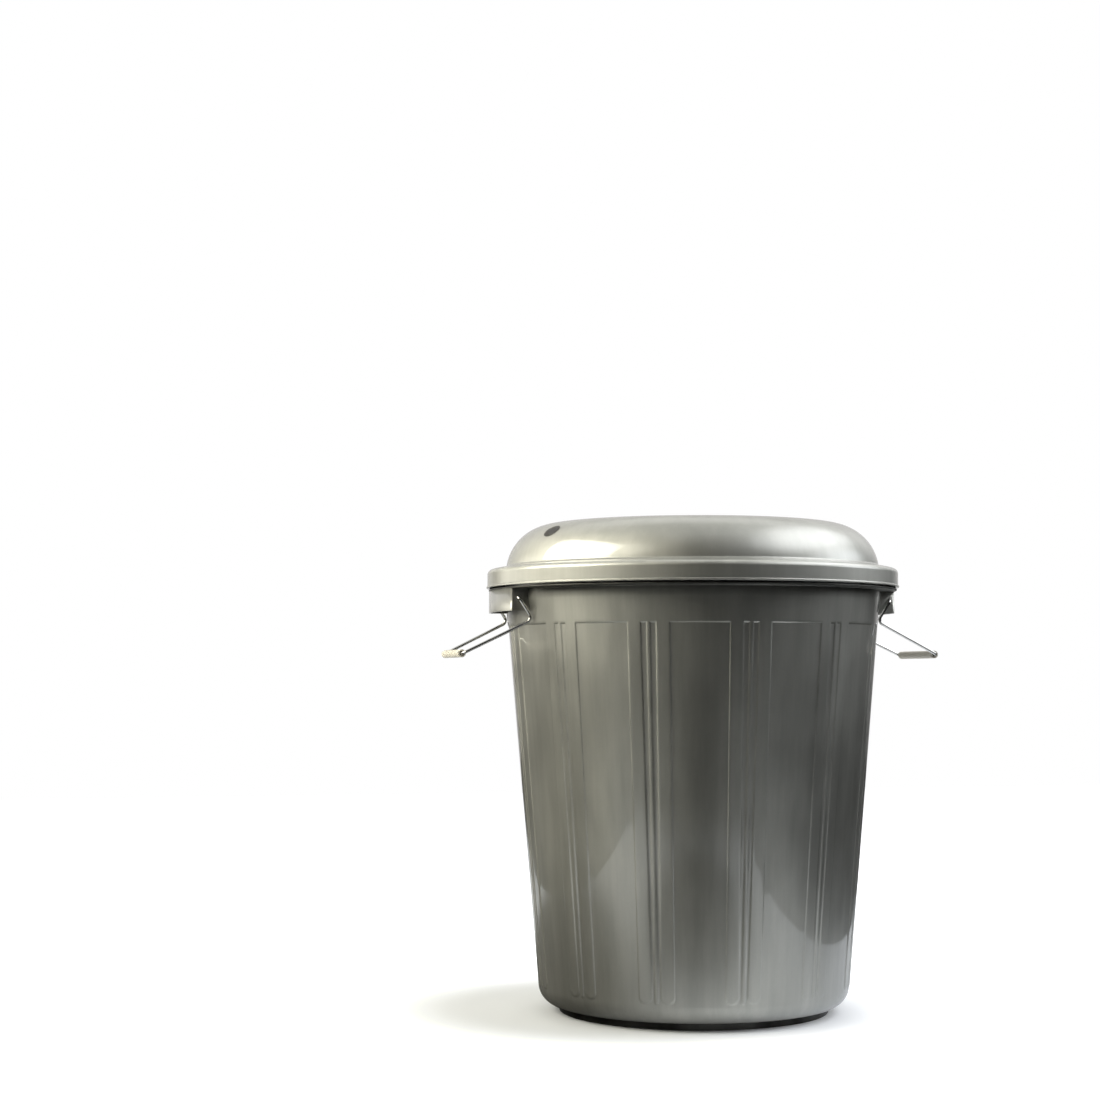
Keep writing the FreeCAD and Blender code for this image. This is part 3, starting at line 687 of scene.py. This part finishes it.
def labelFilm():
    bm = bmesh.new()
    bmesh.ops.create_circle(bm, cap_ends=True, segments=label["sides"], radius=1)
    for i in range(label["rings"]):
        inner = [f for f in bm.faces if len(f.verts) > 4]
        bmesh.ops.inset_region(bm, faces=inner, thickness=label["ringStep"] * (1 + i), use_even_offset=True)
    bmesh.ops.poke(bm, faces=[f for f in bm.faces if len(f.verts) > 4])
    rim = [e for e in bm.edges if e.is_boundary]
    skirt = bmesh.ops.extrude_edge_only(bm, edges=rim)["geom"]
    low = {g for g in skirt if isinstance(g, bmesh.types.BMVert)}
    rub = bm.verts.layers.float.new("rub")
    across = shoulderAcross + lid["shoulder"] * math.cos(math.radians(label["climb"]))
    for vert in bm.verts:
        u, v = vert.co.x, vert.co.y
        vert[rub] = smoothStep((math.hypot(u, v) - label["rimStart"]) / label["rimWidth"])
        climb = math.radians(label["climb"]) + v * label["halfHeight"] / lid["shoulder"]
        azimuth = math.radians(label["azimuth"]) + u * label["halfLength"] / across
        radius = lid["shoulder"] + (-label["sink"] if vert in low else label["thickness"])
        reach = shoulderAcross + radius * math.cos(climb)
        vert.co = Vector((reach * math.cos(azimuth), reach * math.sin(azimuth),
                          shoulderUp + radius * math.sin(climb))) * mm
    bmesh.ops.recalc_face_normals(bm, faces=bm.faces)
    return bm


makePiece("blankLabel", labelFilm(), darkFilm("labelFilm", filmFinish), "lid", "lid_label")


# bails: one bent wire each, from a tail inside the lug down over the knee and round the crossbar
bail = {"diameter": 3.5, "armGap": 3.65, "tail": 5.0, "kneeDrop": 24.8, "kneeOffset": 0.3, "gripReach": 61.3,
        "gripDrop": 62.7, "gripHalfSpacing": 55.0, "pivotBend": 4.0, "kneeBend": 6.0, "gripBend": 5.0,
        "sectionSteps": 6, "bendSteps": 10}
armSide = lug["halfWidth"] + bail["armGap"] + bail["diameter"] / 2
kneeUp = pivotUp - bail["kneeDrop"]
kneeAcross = math.sqrt(wallRadius(kneeUp) ** 2 - armSide ** 2) + bail["kneeOffset"]
gripAcross = pivotAcross + bail["gripReach"]
gripUp = pivotUp - bail["gripDrop"]


def bailCorners():
    tail = lug["halfWidth"] - lug["wall"] - bail["tail"]
    half = [(pivotAcross, tail, pivotUp, 0), (pivotAcross, armSide, pivotUp, bail["pivotBend"]),
            (kneeAcross, armSide, kneeUp, bail["kneeBend"]),
            (gripAcross, bail["gripHalfSpacing"], gripUp, bail["gripBend"])]
    return half + [(x, -y, z, bend) for x, y, z, bend in reversed(half)]


def bentWire(corners, side):
    # straight runs with round bends, as one spline with a round section
    knots = []
    spots = [Vector(c[:3]) for c in corners]
    for i, (spot, corner) in enumerate(zip(spots, corners)):
        if not corner[3]:
            knots.append((spot, spot, spot))
            continue
        back = (spots[i - 1] - spot).normalized()
        ahead = (spots[i + 1] - spot).normalized()
        half = back.angle(ahead) / 2
        reach = corner[3] / math.tan(half)
        handle = 4 / 3 * math.tan((math.pi - 2 * half) / 4) * corner[3]
        entry, leave = spot + back * reach, spot + ahead * reach
        knots.append((entry + back, entry, entry - back * handle))
        knots.append((leave - ahead * handle, leave, leave + ahead))
    curve = bpy.data.curves.new("bailPath", "CURVE")
    curve.dimensions = "3D"
    curve.bevel_depth = bail["diameter"] / 2 * mm
    curve.bevel_resolution = bail["sectionSteps"]
    curve.resolution_u = bail["bendSteps"]
    curve.use_fill_caps = True
    spline = curve.splines.new("BEZIER")
    spline.bezier_points.add(len(knots) - 1)
    for point, (left, spot, right) in zip(spline.bezier_points, knots):
        point.handle_left_type = point.handle_right_type = "FREE"
        point.handle_left, point.co, point.handle_right = left * mm, spot * mm, right * mm
    path = bpy.data.objects.new("bailPath", curve)
    bpy.context.scene.collection.objects.link(path)
    mesh = bpy.data.meshes.new_from_object(path.evaluated_get(bpy.context.evaluated_depsgraph_get()))
    bpy.data.objects.remove(path)
    bm = bmesh.new()
    bm.from_mesh(mesh)
    bmesh.ops.remove_doubles(bm, verts=bm.verts, dist=1e-6)
    bmesh.ops.rotate(bm, verts=bm.verts, cent=(0, 0, 0), matrix=Matrix.Rotation(side, 3, "Z"))
    bmesh.ops.recalc_face_normals(bm, faces=bm.faces)
    return bm


# grips: tubes that turn on the crossbars, with a wider mouth at each end
grip = {"diameter": 9.0, "boreClearance": 0.05, "rim": 1.5, "mouthDepth": 3.0, "mouthRound": 0.3,
        "rounding": 0.9, "columns": 48, "endRun": 4.0, "runs": 8, "boreRun": 1.0, "rubLength": 6.0}


def tubeGrip(node, side):
    low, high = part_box(node)
    half = (high.y - low.y) / 2 / mm
    outer = grip["diameter"] / 2
    bore = bail["diameter"] / 2 + grip["boreClearance"]
    mouth = outer - grip["rim"]
    deep = half - grip["mouthDepth"]
    straight = half - grip["endRun"]
    upper = roundedPath([
        (bore, 0), (bore, deep - grip["boreRun"]), (bore, deep), (mouth, half, grip["mouthRound"]),
        (outer, half, grip["rounding"]), (outer, straight)], 15)
    middle = [(outer, h) for h in spread(straight, -straight, grip["runs"])[1:-1]]
    path = upper + middle + [(x, -z) for x, z in reversed(upper)]
    bm = spunShell(path, grip["columns"])
    rub = bm.verts.layers.float.new("rub")
    for vert in bm.verts:
        vert[rub] = smoothStep((abs(vert.co.z) / mm - half) / grip["rubLength"] + 1)
    bmesh.ops.rotate(bm, verts=bm.verts, cent=(0, 0, 0), matrix=Matrix.Rotation(-math.pi / 2, 3, "X"))
    bmesh.ops.translate(bm, verts=bm.verts, vec=(gripAcross * mm, 0, gripUp * mm))
    bmesh.ops.rotate(bm, verts=bm.verts, cent=(0, 0, 0), matrix=Matrix.Rotation(side, 3, "Z"))
    return bm


wirePlating = platedWire("wirePlating", wireFinish)
gripPlastic = creamPlastic("gripPlastic", gripFinish)
for name, side in (("right", 0.0), ("left", math.pi)):
    handle = name + "_handle"
    tube = name + "_grip"
    makePiece(name + "Bail", bentWire(bailCorners(), side), wirePlating, handle, handle + "_wire")
    makePiece(name + "TubeGrip", tubeGrip(tube, side), gripPlastic, tube, tube)


# camera at the photograph's viewing angle
view = {"turn": -13.7, "pitch": 3.35, "aside": -0.1657, "away": 2.5155, "up": 0.3848,
        "lens": 70.36, "sensor": 36.0}
lookTurn = math.radians(view["turn"])
towardsCamera = Vector((math.sin(lookTurn), -math.cos(lookTurn), 0))
cameraRight = Vector((math.cos(lookTurn), math.sin(lookTurn), 0))
cameraData = bpy.data.cameras.new("camera")
cameraData.lens = view["lens"]
cameraData.sensor_width = view["sensor"]
camera = bpy.data.objects.new("camera", cameraData)
camera.location = cameraRight * view["aside"] + towardsCamera * view["away"] + Vector((0, 0, view["up"]))
camera.rotation_euler = (math.radians(90 + view["pitch"]), 0, lookTurn)
bpy.context.scene.collection.objects.link(camera)
bpy.context.scene.camera = camera


# studio: pale floor, white surround, soft boxes left, right and overhead
studio = {
    "floorSize": 9.0, "paper": (0.80, 0.82, 0.86, 1), "bounce": (0.60, 0.63, 0.68, 1),
    "shaded": (0.08, 0.08, 0.08, 1), "dark": (0.03, 0.03, 0.03, 1), "lit": (0.12, 0.12, 0.11, 1),
    "paperLeft": -0.80, "paperRight": 0.53, "paperFront": 0.98, "paperEdge": 0.012, "paperFrontEdge": 0.2,
    # soft patches of painted shade on the paper that only reflections show: across, towards the camera, core
    # and edge
    "paintedShadePatches": ((-0.46, -0.08, 0.34, 0.62), (-0.03, 0.66, 0.20, 0.48)), "sheen": 0.2,
    "glowStart": 0.175, "glowEnd": 0.41, "glowAside": -0.08, "glowBack": 0.012,
    "surroundFront": (0.02, 0.02, 0.02, 1), "surroundBack": (0.62, 0.61, 0.60, 1),
    "backLift": 30, "backWide": 48, "backCore": 28,
    "lampDistance": 1.9, "aimHeight": 0.45,
}
# azimuth counts from the camera's side of the drum, to the right
# core and edge set how soft the rim of a box is
softBoxes = [
    {"name": "leftBox", "azimuth": -80, "elevation": 27, "size": (1.7, 1.35), "level": 5.6,
     "colour": (1.0, 0.965, 0.82), "core": 0.45, "edge": 0.8},
    {"name": "leftFill", "azimuth": -46, "elevation": 33, "size": (1.4, 1.4), "level": 2.4,
     "colour": (1.0, 0.965, 0.82), "core": 0.0, "edge": 0.55},
    {"name": "leftBack", "azimuth": -116, "elevation": 8, "size": (1.8, 0.95), "level": 2.1,
     "colour": (1.0, 0.965, 0.85), "core": 0.0, "edge": 0.55},
    {"name": "rightBox", "azimuth": 88, "elevation": 44, "size": (3.2, 1.6), "level": 3.5,
     "colour": (0.96, 0.98, 1.0), "core": 0.1, "edge": 0.6},
    {"name": "rightLow", "azimuth": 96, "elevation": 17, "size": (2.2, 0.9), "level": 3.6,
     "colour": (0.93, 0.965, 1.0), "core": 0.0, "edge": 0.55},
    {"name": "topBox", "azimuth": 180, "elevation": 80, "size": (3.0, 2.6), "level": 0.55,
     "colour": (0.98, 1.0, 0.96), "core": 0.3, "edge": 0.65},
    {"name": "frontHigh", "azimuth": -10, "elevation": 62, "size": (1.6, 1.3), "level": 0.5,
     "colour": (1.0, 1.0, 0.96), "core": 0.0, "edge": 0.55},
]


def addSoftBox(box):
    lamp = bpy.data.lights.new(box["name"], "AREA")
    lamp.shape = "RECTANGLE"
    lamp.size, lamp.size_y = box["size"]
    lamp.energy = box["level"] * math.pi * lamp.size * lamp.size_y
    lamp.color = box["colour"]
    lamp.use_nodes = True
    tree = lamp.node_tree
    apart = addNode(tree, "ShaderNodeVectorMath", operation="DISTANCE")
    setInput(tree, apart.inputs[0], addNode(tree, "ShaderNodeNewGeometry").outputs["Parametric"])
    apart.inputs[1].default_value = (0.5, 0.5, 0)    # middle of the lamp's face
    fade = remap(tree, apart.outputs["Value"], box["core"], box["edge"], 1.0, 0.0)
    setInput(tree, tree.nodes["Emission"].inputs["Strength"], fade)
    azimuth, climb = math.radians(box["azimuth"]), math.radians(box["elevation"])
    level = towardsCamera * math.cos(azimuth) + cameraRight * math.sin(azimuth)
    aim = level * math.cos(climb) + Vector((0, 0, math.sin(climb)))
    holder = bpy.data.objects.new(box["name"], lamp)
    holder.location = Vector((0, 0, studio["aimHeight"])) + aim * studio["lampDistance"]
    holder.rotation_euler = aim.to_track_quat("Z", "Y").to_euler()
    bpy.context.scene.collection.objects.link(holder)


for box in softBoxes:
    addSoftBox(box)


def floorMaterial():
    # pale paper under and behind the drum, with a darker floor beside and in front of it
    # reflections also show patches of painted shade on the paper; the camera sees it all as white, with the
    # drum's shadow
    material, tree, shader, spot = newMaterial("paleFloor")
    out = tree.nodes["Material Output"]
    tree.nodes.remove(shader)
    places = addNode(tree, "ShaderNodeSeparateXYZ")
    setInput(tree, places.inputs[0], stretched(tree, spot, (1, 1, 1), (0, 0, -view["turn"])))
    across, front = places.outputs[0], scaled(tree, places.outputs[1], -1.0)
    soft = studio["paperEdge"]
    sheet = remap(tree, across, studio["paperLeft"] - soft, studio["paperLeft"] + soft)
    for place, limit, width in ((across, studio["paperRight"], soft),
                                (front, studio["paperFront"], studio["paperFrontEdge"])):
        inside = remap(tree, place, limit - width, limit + width, 1.0, 0.0)
        sheet = mathNode(tree, "MULTIPLY", sheet, inside)
    clear = 1.0
    # painted shade: patches that darken the paper as reflections see it
    for aside, ahead, core, edge in studio["paintedShadePatches"]:
        apart = addNode(tree, "ShaderNodeVectorMath", operation="DISTANCE")
        setInput(tree, apart.inputs[0], spot)
        apart.inputs[1].default_value = cameraRight * aside + towardsCamera * ahead
        clear = mathNode(tree, "MULTIPLY", remap(tree, apart.outputs["Value"], core, edge), clear)
    paths = addNode(tree, "ShaderNodeLightPath")
    mirrorTone = blendColours(tree, clear, studio["shaded"], studio["bounce"])
    tone = blendColours(tree, paths.outputs["Is Glossy Ray"], studio["paper"], mirrorTone)
    worked = addNode(tree, "ShaderNodeBsdfDiffuse")
    outer = remap(tree, across, studio["paperLeft"], 0.0)
    around = blendColours(tree, outer, studio["lit"], studio["dark"])
    setInput(tree, worked.inputs["Color"], blendColours(tree, sheet, around, tone))
    sheen = addNode(tree, "ShaderNodeEmission")
    mirrored = mathNode(tree, "MULTIPLY", sheet, clear)
    mirrored = mathNode(tree, "MULTIPLY", mirrored, paths.outputs["Is Glossy Ray"])
    setInput(tree, sheen.inputs["Strength"], scaled(tree, mirrored, studio["sheen"]))
    unseen = addNode(tree, "ShaderNodeAddShader")
    setInput(tree, unseen.inputs[0], worked.outputs[0])
    setInput(tree, unseen.inputs[1], sheen.outputs[0])
    length = addNode(tree, "ShaderNodeVectorMath", operation="DISTANCE")
    setInput(tree, length.inputs[0], spot)
    length.inputs[1].default_value = cameraRight * studio["glowAside"] - towardsCamera * studio["glowBack"]
    white = addNode(tree, "ShaderNodeEmission")
    setInput(tree, white.inputs["Strength"],
             remap(tree, length.outputs["Value"], studio["glowStart"], studio["glowEnd"]))
    plain = addNode(tree, "ShaderNodeBsdfDiffuse")
    plain.inputs["Color"].default_value = studio["paper"]
    seen = addNode(tree, "ShaderNodeAddShader")
    setInput(tree, seen.inputs[0], plain.outputs[0])
    setInput(tree, seen.inputs[1], white.outputs[0])
    mixed = addNode(tree, "ShaderNodeMixShader")
    setInput(tree, mixed.inputs[0], paths.outputs["Is Camera Ray"])
    setInput(tree, mixed.inputs[1], unseen.outputs[0])
    setInput(tree, mixed.inputs[2], seen.outputs[0])
    setInput(tree, out.inputs["Surface"], mixed.outputs[0])
    return material


floorMesh = bmesh.new()
bmesh.ops.create_grid(floorMesh, x_segments=1, y_segments=1, size=studio["floorSize"] / 2)
floorData = bpy.data.meshes.new("floor")
floorMesh.to_mesh(floorData)
floorMesh.free()
floorData.materials.append(floorMaterial())
floor = bpy.data.objects.new("floor", floorData)
bpy.context.scene.collection.objects.link(floor)


def paintSurround():
    world = bpy.data.worlds.new("surround")
    world.use_nodes = True
    tree = world.node_tree
    out = tree.nodes["World Output"]
    plain = tree.nodes["Background"]
    facing = addNode(tree, "ShaderNodeVectorMath", operation="DOT_PRODUCT")
    setInput(tree, facing.inputs[0], addNode(tree, "ShaderNodeTexCoord").outputs["Generated"])
    lift = math.radians(studio["backLift"])
    facing.inputs[1].default_value = Vector((0, 0, math.sin(lift))) - towardsCamera * math.cos(lift)
    wide, core = [math.cos(math.radians(studio[key])) for key in ("backWide", "backCore")]
    behind = remap(tree, facing.outputs["Value"], wide, core)
    setInput(tree, plain.inputs["Color"],
             blendColours(tree, behind, studio["surroundFront"], studio["surroundBack"]))
    white = addNode(tree, "ShaderNodeBackground")
    white.inputs["Color"].default_value = (1, 1, 1, 1)
    mixed = addNode(tree, "ShaderNodeMixShader")
    setInput(tree, mixed.inputs[0], addNode(tree, "ShaderNodeLightPath").outputs["Is Camera Ray"])
    setInput(tree, mixed.inputs[1], plain.outputs[0])
    setInput(tree, mixed.inputs[2], white.outputs[0])
    setInput(tree, out.inputs["Surface"], mixed.outputs[0])
    bpy.context.scene.world = world


paintSurround()
bpy.context.scene.view_settings.view_transform = "Standard"
print("studio ready")
